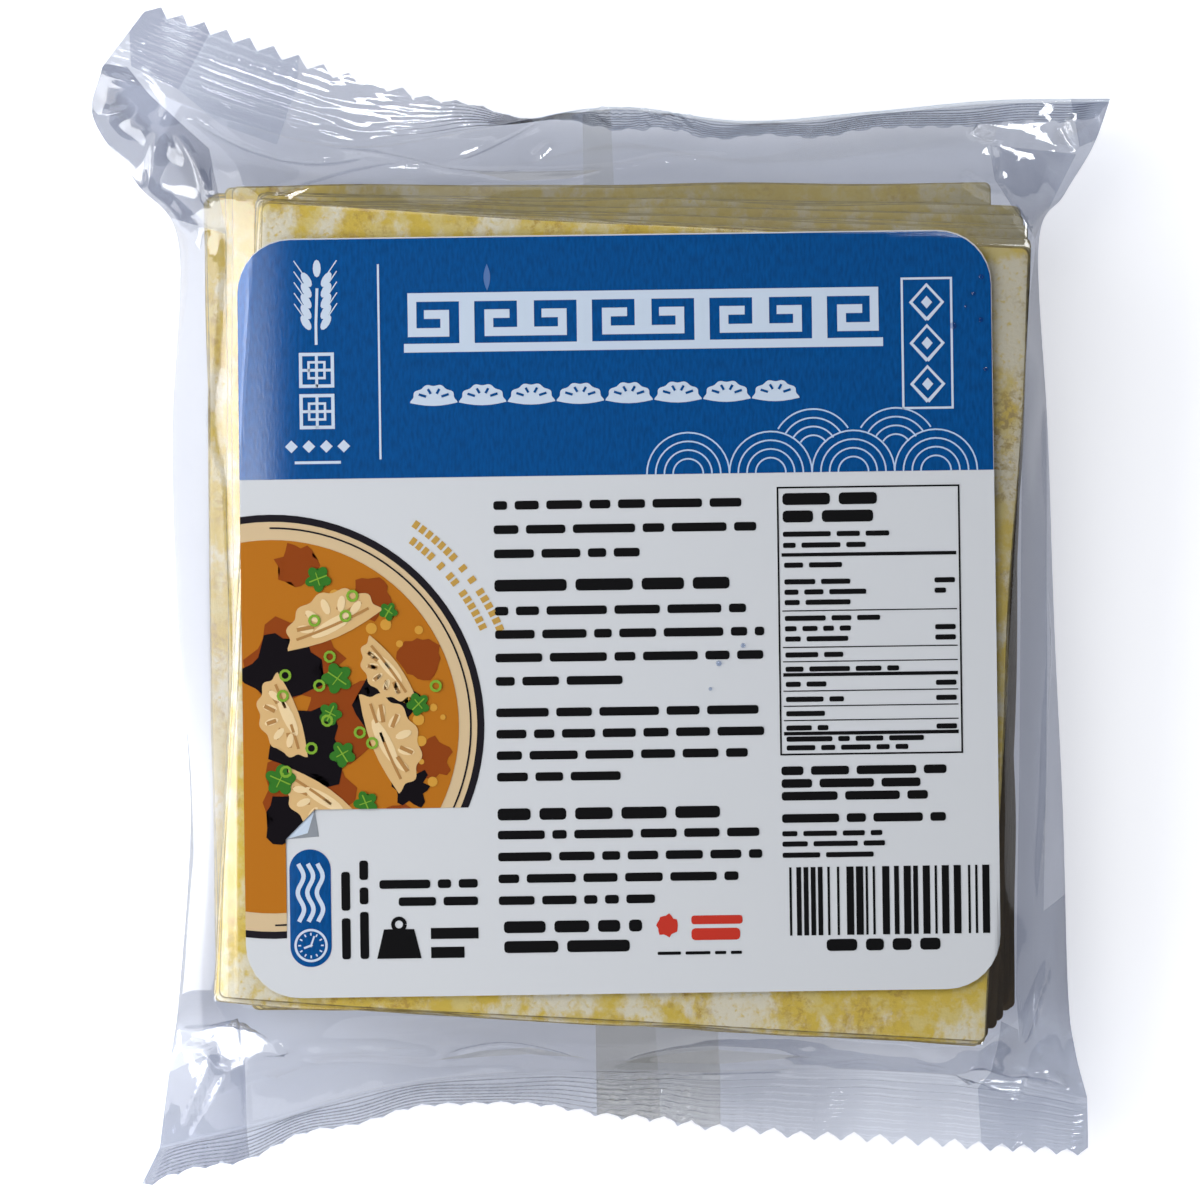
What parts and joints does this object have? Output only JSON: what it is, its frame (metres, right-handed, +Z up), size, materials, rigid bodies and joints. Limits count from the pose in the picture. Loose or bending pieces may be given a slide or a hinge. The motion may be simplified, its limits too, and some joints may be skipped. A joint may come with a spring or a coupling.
{
  "type": "packed wonton wrappers",
  "caption": "Square stack of thin dough wrappers sealed in a clear flow-wrap film bag with crimped, serrated ends and a large square label on top, lying flat.",
  "frame": {"origin": "on the surface the pack lies on, at the middle of the pack's outline seen from above", "axes": "+X across the pack to the right of the label, +Y along the film tube towards the label's head, +Z up"},
  "size_m": [0.1294, 0.1508, 0.0204],
  "materials": {
    "wrapped_dough": "clear glossy film over pale yellow dough",
    "label_paper": "semi-gloss coated label, blue and white print",
    "clear_film": "thin clear glossy polypropylene film",
    "dough": "matt egg dough dusted with starch"
  },
  "bodies": {
    "root": {"film_bag": "wrapped_dough", "label": "label_paper"}
  },
  "joints": []
}
